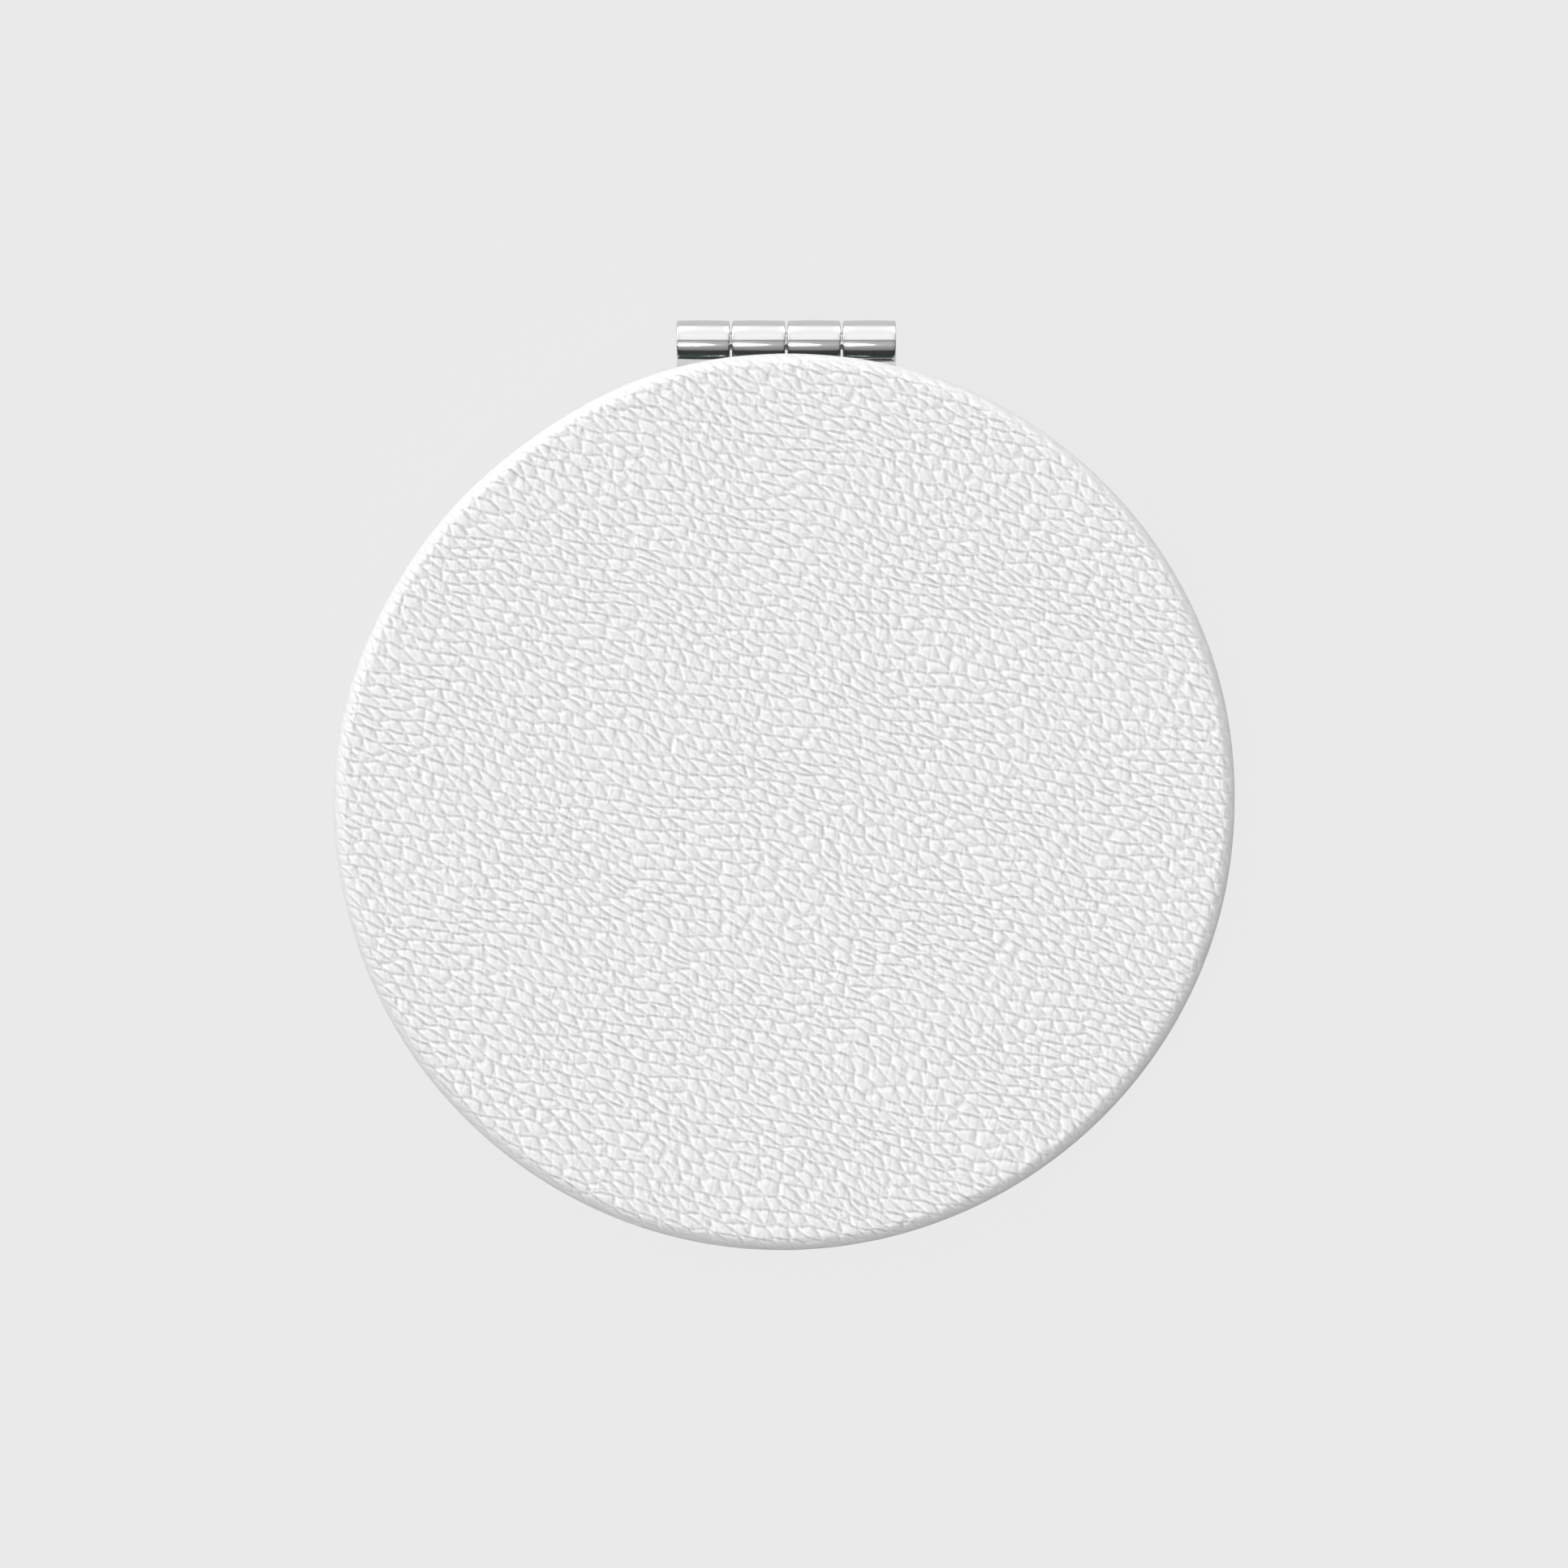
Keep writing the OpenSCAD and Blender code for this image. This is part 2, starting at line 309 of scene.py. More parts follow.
# %% Lay the floor
FLOOR_R = 2.0
FLOOR_SIDES = 96
FLOOR_DROP = 0.02 * MM
FLOOR_OWN_SHARE = 0.975
FLOOR_PALE = colour("#EEEEEE")
FLOOR_BOUNCE = colour("#868686")
FLOOR_IN_METAL = 0.76

sheet = bmesh.new()
bmesh.ops.create_circle(sheet, cap_ends=True, segments=FLOOR_SIDES, radius=FLOOR_R)
bmesh.ops.translate(sheet, verts=sheet.verts, vec=(0, 0, -FLOOR_DROP))
floor_mesh = bpy.data.meshes.new("floor")
sheet.to_mesh(floor_mesh)
sheet.free()
floor = bpy.data.objects.new("floor", floor_mesh)
scene.collection.objects.link(floor)

paper, tree, shader = new_material("paper_sheet")
tree.nodes.remove(shader)
sight = add(tree, "ShaderNodeLightPath").outputs
direct = sight["Is Camera Ray"]
for ray in ("Is Glossy Ray", "Is Transmission Ray"):
    inputs = {0: direct, 1: sight[ray]}
    direct = add(tree, "ShaderNodeMath", inputs, operation="MAXIMUM")
tone = add(tree, "ShaderNodeMix", {0: direct, MIX_A: FLOOR_BOUNCE, MIX_B: FLOOR_PALE}, **COLOURS)
matt = add(tree, "ShaderNodeBsdfDiffuse", {"Color": tone})
given = add(tree, "ShaderNodeMapRange", {
    "Value": sight["Is Glossy Ray"], "To Min": 1.0, "To Max": FLOOR_IN_METAL})
own = add(tree, "ShaderNodeEmission", {"Color": BACKDROP, "Strength": given})
share = add(tree, "ShaderNodeMath", {0: direct, 1: FLOOR_OWN_SHARE}, operation="MULTIPLY")
face = add(tree, "ShaderNodeMixShader", {0: share, 1: matt, 2: own})
connect(tree, tree.nodes["Material Output"], {"Surface": face})
floor_mesh.materials.append(paper)
print("The floor reaches", FLOOR_R, "m and lies %.2f mm under the case" % (FLOOR_DROP / MM))

# %% [markdown]
# ## The grain of the leather
# Full-grain leather is covered in pebbles: little domes, here two and a half millimetres long and
# one wide, which the creases between them separate. The skin was stretched one way, so they are
# lozenges whose long way runs down to the right. Steep wrinkles cross them, and a few long folds
# wander along them. Cells of that kind are what a Voronoi pattern draws, and the distance to the
# nearest edge gives both the dome and the crease. With little randomness its cells are almost
# squares, and squares that stand on a corner and are squeezed are lozenges. The hide is bent by a
# slow and a quick noise first, so that no line is straight.
# The pattern is wanted twice. A mesh can be pressed with it, which needs a geometry node tree,
# and a shader can draw the finest lines, which needs a shader tree. One function fills either
# kind of group with the same nodes, so the two always agree.

# %% The pattern as a node group
# Lengths are in millimetres, and rates are waves to a millimetre
GRAIN_TURN = math.radians(32)
PEBBLE_LONG = 2.5
PEBBLE_WIDE = 1.04
PEBBLE_SPREAD = 0.6
WRINKLE_TURN = math.radians(58)
WRINKLE_LONG = 1.8
WRINKLE_WIDE = 0.7
FOLD_PITCH = 2.5
FOLD_SWAY = 3.2
SWAY_RATE = (0.07, 0.2, 0)
SLOW_RATE = 0.09
SLOW_BEND = 1.8
QUICK_RATE = 0.62
QUICK_BEND = 0.26
# How far from its line each height is full, as a share of a cell
RISE = {"Pebble": 0.34, "Crease": 0.16, "Wrinkle": 0.22, "Fold": 0.10}
FLAT_EDGES = {"voronoi_dimensions": "2D", "feature": "DISTANCE_TO_EDGE"}


def noise_shift(tree, place, rate, amount):
    """A vector that wanders by about the amount either way."""
    wander = add(tree, "ShaderNodeTexNoise", {
        "Vector": place, "Scale": rate, "Detail": 1.0}, noise_dimensions="2D")
    middle = add(tree, "ShaderNodeVectorMath", {
        0: wander.outputs["Color"], 1: (0.5, 0.5, 0.5)}, operation="SUBTRACT")
    return add(tree, "ShaderNodeVectorMath", {0: middle, "Scale": amount}, operation="SCALE")


def grain_group(kind):
    """Makes the pattern as a group of that kind. Its heights run from zero to one."""
    group = bpy.data.node_groups.new("leather_grain", kind)
    sockets = group.interface
    sockets.new_socket("Hide", in_out="INPUT", socket_type="NodeSocketVector")
    for name in RISE:
        sockets.new_socket(name, in_out="OUTPUT", socket_type="NodeSocketFloat")
    hide = add(group, "NodeGroupInput").outputs["Hide"]
    flat = add(group, "ShaderNodeVectorMath", {0: hide, "Scale": 1 / MM}, operation="SCALE")
    slow = noise_shift(group, flat, SLOW_RATE, SLOW_BEND)
    quick = noise_shift(group, flat, QUICK_RATE, QUICK_BEND)
    bent = add(group, "ShaderNodeVectorMath", {0: flat, 1: slow})
    bent = add(group, "ShaderNodeVectorMath", {0: bent, 1: quick})
    skewed = add(group, "ShaderNodeVectorRotate", {
        "Vector": bent, "Angle": GRAIN_TURN}, rotation_type="Z_AXIS")

    packed = add(group, "ShaderNodeVectorMath", {
        0: skewed, 1: (math.sqrt(2) / PEBBLE_LONG, math.sqrt(2) / PEBBLE_WIDE, 0)},
        operation="MULTIPLY")
    lozenges = add(group, "ShaderNodeVectorRotate", {"Vector": packed, "Angle": math.pi / 4},
                   rotation_type="Z_AXIS")
    cells = add(group, "ShaderNodeTexVoronoi", {
        "Vector": lozenges, "Scale": 1.0, "Randomness": PEBBLE_SPREAD}, **FLAT_EDGES)

    turned = add(group, "ShaderNodeVectorRotate", {
        "Vector": skewed, "Angle": WRINKLE_TURN}, rotation_type="Z_AXIS")
    small = add(group, "ShaderNodeVectorMath", {
        0: turned, 1: (1 / WRINKLE_LONG, 1 / WRINKLE_WIDE, 0)}, operation="MULTIPLY")
    lines = add(group, "ShaderNodeTexVoronoi", {"Vector": small, "Scale": 1.0}, **FLAT_EDGES)

    along = add(group, "ShaderNodeVectorMath", {0: skewed, 1: SWAY_RATE}, operation="MULTIPLY")
    sway = add(group, "ShaderNodeTexNoise", {
        "Vector": along, "Scale": 1.0, "Detail": 1.5}, noise_dimensions="2D")
    across = add(group, "ShaderNodeSeparateXYZ", {0: skewed}).outputs["Y"]
    count = add(group, "ShaderNodeMath", {0: across, 1: FOLD_PITCH}, operation="DIVIDE")
    swayed = add(group, "ShaderNodeMath", {
        0: sway, 1: FOLD_SWAY, 2: count}, operation="MULTIPLY_ADD")
    fold = add(group, "ShaderNodeMath", {0: swayed, 1: 0.5}, operation="PINGPONG")

    away = {"Pebble": cells, "Crease": cells, "Wrinkle": lines, "Fold": fold}
    heights = {}
    for name, full in RISE.items():
        inputs = {"Value": away[name], "From Max": full}
        heights[name] = add(group, "ShaderNodeMapRange", inputs, **SMOOTH)
    add(group, "NodeGroupOutput", heights)
    return group


shader_grain = grain_group("ShaderNodeTree")
press_grain = grain_group("GeometryNodeTree")
print("Pebbles are %.1f by %.1f mm" % (PEBBLE_LONG, PEBBLE_WIDE))

# %% [markdown]
# ## White pebbled leather
# This is calf leather with a pigmented white finish. The finish is satin: a dielectric with an
# IOR of 1.5 and a middling roughness, smoother on the tops of the pebbles, which hands polish.
# Light and shade are painted into its colour as well: each crease is painted darker, and a narrow
# strip beyond it towards the upper right is painted lighter, as light from the lower left would
# show them. The shader finds those places by comparing the pattern with itself a little before,
# against that way. The bump adds the sharp bottom of each crease, the wrinkles and the pores,
# which are finer than the mesh. Over the edge and down the wall the leather is pulled taut, so
# the painted shade and light and the bump fade there. An image of leather would be quicker, but it
# would repeat, and it could not follow the hide round the edge.

# %% The leather's material
SHADE_PAINT_WAY = math.radians(52)
SHADE_PAINT_STEP = 0.26 * MM
# How much each height counts in the painted shade, and the fall at which the painted shade or
# painted light is full
SHADE_PAINT_WEIGHTS = {"Crease": 0.68, "Wrinkle": 0.28, "Fold": 0.24}
PAINTED_SHADE_FULL = 1.0
PAINTED_LIGHT_FULL = 0.8
# Depths in millimetres
DEPTH = {"Pebble": 0.085, "Crease": 0.012, "Wrinkle": 0.02, "Fold": 0.02}
PORE_DEPTH = 0.004
PORE_PITCH = 0.16 * MM
TAUT_SHARE = 0.25
LEATHER_TONE = colour("#E6E6E6")
LEATHER_PAINTED_LIGHT = colour("#FAFAFA")
LEATHER_PAINTED_SHADE = colour("#C7C7C7")
FLESH_TONE = colour("#E1D9CC")
LEATHER_SHINE = 0.42
CREASE_ROUGHNESS = 0.62
PEBBLE_ROUGHNESS = 0.46


def pebbled_leather(name):
    """Leather whose grain lies on the flat hide, with its flesh side in its own tone."""
    material, tree, shader = new_material(name)
    hide = add(tree, "ShaderNodeAttribute", attribute_name="hide").outputs["Vector"]
    skin = add(tree, "ShaderNodeAttribute", attribute_name="grain_side").outputs["Fac"]
    pulled = add(tree, "ShaderNodeAttribute", attribute_name="taut").outputs["Fac"]
    loose = add(tree, "ShaderNodeMapRange", {
        "Value": pulled, "To Min": 1.0, "To Max": TAUT_SHARE})
    here = add(tree, "ShaderNodeGroup", {"Hide": hide}, node_tree=shader_grain).outputs
    # Painted shade and painted light: the crease is painted darker and the strip beyond it, towards
    # the upper right, lighter
    step = (-SHADE_PAINT_STEP * math.cos(SHADE_PAINT_WAY), -SHADE_PAINT_STEP * math.sin(SHADE_PAINT_WAY), 0)
    before = add(tree, "ShaderNodeVectorMath", {0: hide, 1: step})
    back = add(tree, "ShaderNodeGroup", {"Hide": before}, node_tree=shader_grain).outputs
    fall = total(tree, [(side[name], sign * weight) for side, sign in ((back, 1), (here, -1))
                        for name, weight in SHADE_PAINT_WEIGHTS.items()])
    fall = add(tree, "ShaderNodeMath", {0: fall, 1: loose}, operation="MULTIPLY")
    rise = add(tree, "ShaderNodeMath", {0: fall, 1: -1.0}, operation="MULTIPLY")
    painted_shade = add(tree, "ShaderNodeMapRange", {"Value": fall, "From Max": PAINTED_SHADE_FULL}, **SMOOTH)
    light = add(tree, "ShaderNodeMapRange", {"Value": rise, "From Max": PAINTED_LIGHT_FULL}, **SMOOTH)
    tone = add(tree, "ShaderNodeMix", {
        0: painted_shade, MIX_A: LEATHER_TONE, MIX_B: LEATHER_PAINTED_SHADE}, **COLOURS)
    tone = add(tree, "ShaderNodeMix", {0: light, MIX_A: tone, MIX_B: LEATHER_PAINTED_LIGHT}, **COLOURS)
    whole = add(tree, "ShaderNodeMix", {0: skin, MIX_A: FLESH_TONE, MIX_B: tone}, **COLOURS)

    pores = add(tree, "ShaderNodeTexNoise", {
        "Vector": hide, "Scale": 1 / PORE_PITCH}, noise_dimensions="2D")
    depth = total(tree, [(here[name], deep) for name, deep in DEPTH.items()]
                  + [(pores, PORE_DEPTH)])
    depth = add(tree, "ShaderNodeMath", {0: depth, 1: loose}, operation="MULTIPLY")
    bump = add(tree, "ShaderNodeBump", {"Strength": 1.0, "Distance": MM, "Height": depth})
    rough = add(tree, "ShaderNodeMapRange", {
        "Value": here["Pebble"], "To Min": CREASE_ROUGHNESS, "To Max": PEBBLE_ROUGHNESS})
    connect(tree, shader, {
        "Base Color": whole, "Roughness": rough,
        "Normal": bump, "Specular IOR Level": LEATHER_SHINE})
    return material


white_leather = pebbled_leather("white_pebbled_leather")
print("Made", white_leather.name)

# %% [markdown]
# ## The leather covers
# A real cover is a disc of leather, cut larger than the case. It is laid over the foam, pulled
# round the edge and down the wall, turned over the rim and glued. The mesh is made in the same
# order. A grid becomes a flat disc, its border is extruded outwards ring by ring, and that gives
# the cut hide. Each point keeps its place on the flat hide as an attribute, so the grain flows
# over the edge as it does on the real thing. Only then is each point carried to where the
# leather lies. The flesh side is added the same way, a leather's thickness under the grain side.
# Spinning a section would be shorter, but its faces would crowd together in the middle and be
# too wide at the edge for the pebbles. The outline wanders a little from round, as it does where
# a hand pulled the leather. The edge bends quickly, slopes, and bends quickly again.

# %% Where the leather lies
CROWN = 0.12 * MM
CROWN_POWER = 4
EDGE_POWER = 1.33
# Azimuth and spread of each pull in degrees, and how far it moves the outline, in millimetres
PULLS = [
    (0, 9, -0.08), (15, 25, 0.06), (90, 9, -0.14), (127, 13, -0.48), (150, 9, -0.18),
    (175, 12, 0.14), (203, 20, 0.12), (290, 25, -0.14), (324, 33, -0.19),
]
PLEATS = 84
PLEAT_DEPTH = 0.04 * MM

edge_run = edge_r * math.pi / 2
lip_run = lip_r * math.pi / 2
wall_run = case_d - CROWN - edge_r - hem_d - lip_r


def angle_of(spot):
    return math.atan2(spot.y, spot.x)


def around(run, angle, height=0.0):
    """The point at that distance from the middle and at that angle."""
    return run * math.cos(angle), run * math.sin(angle), height


def swell(angle, middle, spread):
    """A soft bump of height one where the angle is near the middle."""
    off = (angle - middle + math.pi) % (2 * math.pi) - math.pi
    return math.exp(-0.5 * (off / spread) ** 2)


def outline(angle):
    """Radius of the case, which the hand that pulled the leather left a little uneven."""
    pulled = sum(much * swell(angle, math.radians(at), math.radians(spread))
                 for at, spread, much in PULLS)
    return case_r + pulled * MM


def flat_reach(angle):
    """Length of leather from the middle to the end of the rounded edge."""
    return outline(angle) - edge_r + edge_run


def section(run, angle, under):
    """Radius and level of the leather, run along from its middle and under its grain side."""
    reach = outline(angle)
    level = case_d - CROWN
    flat = reach - edge_r
    if run <= flat:
        return run, level - under + CROWN * (1 - (run / flat) ** CROWN_POWER)
    run -= flat
    if run <= edge_run:
        bend = run / edge_r
        left = edge_r - under
        return (flat + left * math.sin(bend) ** EDGE_POWER,
                level - edge_r + left * math.cos(bend) ** EDGE_POWER)
    run -= edge_run
    if run <= wall_run:
        return reach - under, level - edge_r - run
    run -= wall_run
    if run <= lip_run:
        bend = run / lip_r
        left = lip_r - under
        pleat = PLEAT_DEPTH * math.sin(bend) * math.sin(PLEATS * angle)
        return (reach - lip_r + left * math.cos(bend),
                hem_d + lip_r - left * math.sin(bend) + pleat)
    run -= lip_run
    pleat = PLEAT_DEPTH * math.sin(PLEATS * angle) * max(0.0, 1 - run / lip_r)
    return reach - lip_r - run, hem_d + under + pleat


def whole_reach(angle):
    """Length of leather from the middle to its cut edge."""
    return flat_reach(angle) + wall_run + lip_run + outline(angle) - lip_r - hem_r


# %% Make a cover
GRID = 264
WALL_RINGS = 15
TAUT_FROM = 0.1 * MM
TAUT_TO = 0.9 * MM
# The flesh side's rings, from the cut edge back, as shares of the way there from the rounded
# edge. The last one, at no share, is set in under the rounded edge.
FLESH_RINGS = (1.0, 0.86, 0.50, 0.38, 0.26, 0.13, 0.0)
FLESH_INSET = 1.6 * edge_r
# The base's hide comes from another place of the skin
HIDE_SEAT = {"lid": Vector((0, 0, 0)), "base": Vector((0.4, 0.15, 0))}
HALVES = {"lid": 1, "base": -1}
SHARP = math.radians(40)
TINY = 1e-9


def disc_place(x, y):
    """Carries a point of the square to the disc, with its rings kept evenly spaced."""
    if abs(x) < TINY and abs(y) < TINY:
        return 0.0, 0.0
    if abs(x) >= abs(y):
        return x, math.pi / 4 * y / x
    return y, math.pi / 2 - math.pi / 4 * x / y


def round_grid(bm, count, reach):
    """Makes a flat disc of a grid. Its length at each angle is what reach gives."""
    bmesh.ops.create_grid(bm, x_segments=count, y_segments=count, size=1.0)
    for corner in bm.verts:
        length, angle = disc_place(corner.co.x, corner.co.y)
        if length < 0:
            length, angle = -length, angle + math.pi
        corner.co = around(length * reach(angle), angle)


def finished_piece(bm, name, material):
    """Turns the faces outwards and makes an object of the bmesh, with one material."""
    bmesh.ops.recalc_face_normals(bm, faces=bm.faces)
    if bm.calc_volume(signed=True) < 0:
        bmesh.ops.reverse_faces(bm, faces=bm.faces)
    open_edges = sum(edge.is_boundary for edge in bm.edges)
    mesh = bpy.data.meshes.new(name)
    bm.to_mesh(mesh)
    bm.free()
    mesh.shade_smooth()
    mesh.set_sharp_from_angle(angle=SHARP)
    mesh.materials.append(material)
    piece = bpy.data.objects.new(name, mesh)
    scene.collection.objects.link(piece)
    print(name, len(mesh.polygons), "faces,", open_edges, "open edges")
    return piece


def settle(piece):
    """Applies the piece's modifiers, so that its mesh is the finished shape."""
    graph = bpy.context.evaluated_depsgraph_get()
    finished = bpy.data.meshes.new_from_object(piece.evaluated_get(graph))
    finished.name = piece.name
    piece.modifiers.clear()
    piece.data = finished


def next_ring(bm, ring):
    """Extrudes the border and returns the new border and its corners."""
    grown = bmesh.ops.extrude_edge_only(bm, edges=ring)["geom"]
    ring = [part for part in grown if isinstance(part, bmesh.types.BMEdge)]
    return ring, {corner for edge in ring for corner in edge.verts}


def lay_ring(corners, share, inset=0.0):
    """Puts a ring on the flat hide, at a share of the way from the rounded edge to the cut."""
    for corner in corners:
        angle = angle_of(corner.co)
        start = flat_reach(angle)
        corner.co = around(start + (whole_reach(angle) - start) * share - inset, angle)


def leather_cover(body):
    """Makes the leather of one half, as a flat hide that is then laid round the half."""
    bm = bmesh.new()
    hide = bm.verts.layers.float_vector.new("hide")
    skin = bm.verts.layers.float.new("grain_side")
    taut = bm.verts.layers.float.new("taut")
    round_grid(bm, GRID, flat_reach)
    ring = [edge for edge in bm.edges if edge.is_boundary]
    for step in range(1, WALL_RINGS + 1):
        ring, corners = next_ring(bm, ring)
        lay_ring(corners, step / WALL_RINGS)
    for corner in bm.verts:
        corner[hide] = corner.co
        corner[skin] = 1.0
        flat = flat_reach(angle_of(corner.co)) - edge_run
        share = (corner.co.length - flat - TAUT_FROM) / (TAUT_TO - TAUT_FROM)
        corner[taut] = max(0.0, min(1.0, share))
    for share in FLESH_RINGS:
        ring, corners = next_ring(bm, ring)
        lay_ring(corners, share, 0.0 if share else FLESH_INSET)
        for corner in corners:
            corner[hide] = corner.co
            corner[skin] = 0.0
            corner[taut] = 1.0
    bmesh.ops.holes_fill(bm, edges=ring, sides=0)
    for corner in bm.verts:
        place = corner[hide]
        angle = angle_of(place)
        under = 0.0 if corner[skin] else leather_t
        radius, level = section(place.length, angle, under)
        corner.co = around(radius, angle, AXIS.z + HALVES[body] * level)
        corner[hide] = place + HIDE_SEAT[body]
    return finished_piece(bm, body + "_leather_cover", white_leather)


# %% [markdown]
# The pebbles are pressed into the mesh with a geometry nodes modifier. It reads each point's
# place on the hide, asks the grain group for the dome there, and moves the point in along its
# normal by up to four hundredths of a millimetre. Nothing rises above the level where the leather
# lies, so the case stays as thick as the CAD model has it. Sculpting could do the same, but not
# twice alike.
# In the photograph every knuckle of the hinge shows the same slice of the room, also where the
# case would stand in front of it. So the covers, pads, trays and rivets are left out of what
# polished metal reflects.

# %% Press the grain into the covers
PEBBLE_PRESS = 0.030 * MM
FOLD_PRESS = 0.010 * MM


def press_tree():
    """Geometry nodes that press the grain into a hide, and less where it is taut."""
    tree = bpy.data.node_groups.new("press_the_grain", "GeometryNodeTree")
    tree.interface.new_socket("Geometry", in_out="INPUT", socket_type="NodeSocketGeometry")
    tree.interface.new_socket("Geometry", in_out="OUTPUT", socket_type="NodeSocketGeometry")
    leather = add(tree, "NodeGroupInput")
    hide = add(tree, "GeometryNodeInputNamedAttribute", {"Name": "hide"},
               data_type="FLOAT_VECTOR")
    skin = add(tree, "GeometryNodeInputNamedAttribute", {"Name": "grain_side"})
    pulled = add(tree, "GeometryNodeInputNamedAttribute", {"Name": "taut"})
    grain = add(tree, "GeometryNodeGroup", {"Hide": hide}, node_tree=press_grain).outputs
    raised = total(tree, [(grain["Pebble"], PEBBLE_PRESS), (grain["Fold"], FOLD_PRESS)])
    sunk = add(tree, "ShaderNodeMath", {0: raised, 1: PEBBLE_PRESS + FOLD_PRESS},
               operation="SUBTRACT")
    loose = add(tree, "ShaderNodeMapRange", {
        "Value": pulled, "To Min": 1.0, "To Max": TAUT_SHARE})
    eased = add(tree, "ShaderNodeMath", {0: sunk, 1: loose}, operation="MULTIPLY")
    kept = add(tree, "ShaderNodeMath", {0: eased, 1: skin}, operation="MULTIPLY")
    normal = add(tree, "GeometryNodeInputNormal")
    move = add(tree, "ShaderNodeVectorMath", {0: normal, "Scale": kept}, operation="SCALE")
    moved = add(tree, "GeometryNodeSetPosition", {"Geometry": leather, "Offset": move})
    add(tree, "NodeGroupOutput", {"Geometry": moved})
    return tree


press = press_tree()
for body in HALVES:
    cover = leather_cover(body)
    cover.modifiers.new("grain", "NODES").node_group = press
    settle(cover)
    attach(cover, body)
    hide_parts(body + "_cover")
    cover.visible_glossy = False

# %% [markdown]
# ## Foam pads
# Under each cover lies a disc of closed-cell polyethylene foam, less than a millimetre thick. It
# gives the case its soft hand and its slight crown. The leather holds the pad's edge round. A
# disc with a bevelled edge would not follow it, so the pad is made from the same section, a
# leather's thickness under the grain.

# %% Make the foam pads
PAD_GRID = 48
CELL_PITCH = 0.22 * MM
CELL_DEPTH = 0.05 * MM
FOAM_HOLLOW_SHADE = colour("#B4B4AE")
FOAM_WALL = colour("#CBCBC6")
FOAM_ROUGHNESS = 0.92


def cell_foam():
    """Foam of small cells, with painted shade that makes their hollows darker than their walls."""
    material, tree, shader = new_material("polyethylene_foam")
    place = add(tree, "ShaderNodeTexCoord").outputs["Object"]
    cells = add(tree, "ShaderNodeTexVoronoi", {"Vector": place, "Scale": 1 / CELL_PITCH})
    wall = add(tree, "ShaderNodeMapRange", {"Value": cells, "From Min": 0.1, "From Max": 0.8},
               **SMOOTH)
    # Painted shade: the hollows of the cells are darker than their walls
    tone = add(tree, "ShaderNodeMix", {0: wall, MIX_A: FOAM_HOLLOW_SHADE, MIX_B: FOAM_WALL}, **COLOURS)
    bump = add(tree, "ShaderNodeBump", {"Strength": 0.6, "Distance": CELL_DEPTH, "Height": cells})
    connect(tree, shader, {"Base Color": tone, "Roughness": FOAM_ROUGHNESS, "Normal": bump})
    return material


def pad_reach(angle):
    """Run of the pad's upper face, to where it meets the level of the tray."""
    drop = case_d - CROWN - edge_r
    share = max(0.0, min(1.0, (tray_d - drop) / (edge_r - leather_t)))
    bend = math.acos(share ** (1 / EDGE_POWER))
    return outline(angle) - edge_r + edge_r * bend


def foam_pad(name, side):
    """Makes the pad from its upper face down to the tray."""
    bm = bmesh.new()
    round_grid(bm, PAD_GRID, pad_reach)
    for corner in bm.verts:
        angle = angle_of(corner.co)
        radius, level = section(corner.co.length, angle, leather_t)
        corner.co = around(radius, angle, AXIS.z + side * level)
    ring = [edge for edge in bm.edges if edge.is_boundary]
    ring, corners = next_ring(bm, ring)
    for corner in corners:
        corner.co.z = AXIS.z + side * tray_d
    bmesh.ops.holes_fill(bm, edges=ring, sides=0)
    return finished_piece(bm, name, foam)


foam = cell_foam()
for body, side in HALVES.items():
    pad = foam_pad(body + "_foam", side)
    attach(pad, body)
    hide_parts(body + "_foam_pad")
    pad.visible_glossy = False

# %% [markdown]
# ## Blanks with a shaped outline
# A facing ring and the plate of a hinge leaf are both flat blanks, as thick as each other so that
# the plate lies flush in the ring's notch. Both are made as a punch makes them: the outline and
# the holes are drawn, the face between them is filled and it is given its thickness. A small
# bevel then takes off the sharp edge. Smooth shading would carry the bevel's roundness across
# the flat faces in streaks, so their borders are marked as sharp.

# %% Helpers for the blanks
TONGUE_STEPS = 8
BEVEL_STEPS = 3
BEVEL_FROM = math.radians(60)
LEVEL_FIT = 0.01 * MM
FLAT_FROM = 0.9999


def arc(x, y, radius, start, end, steps):
    """Points along an arc, both ends included, with its angles in degrees."""
    angles = [math.radians(start + (end - start) * step / steps) for step in range(steps + 1)]
    return [(x + radius * math.cos(angle), y + radius * math.sin(angle)) for angle in angles]


def tongue(half_width, inner_y, rounding):
    """The inner end of a leaf, or of the notch for it, from its left side to its right."""
    middle = inner_y + rounding
    return (arc(rounding - half_width, middle, rounding, 180, 270, TONGUE_STEPS)
            + arc(half_width - rounding, middle, rounding, 270, 360, TONGUE_STEPS))


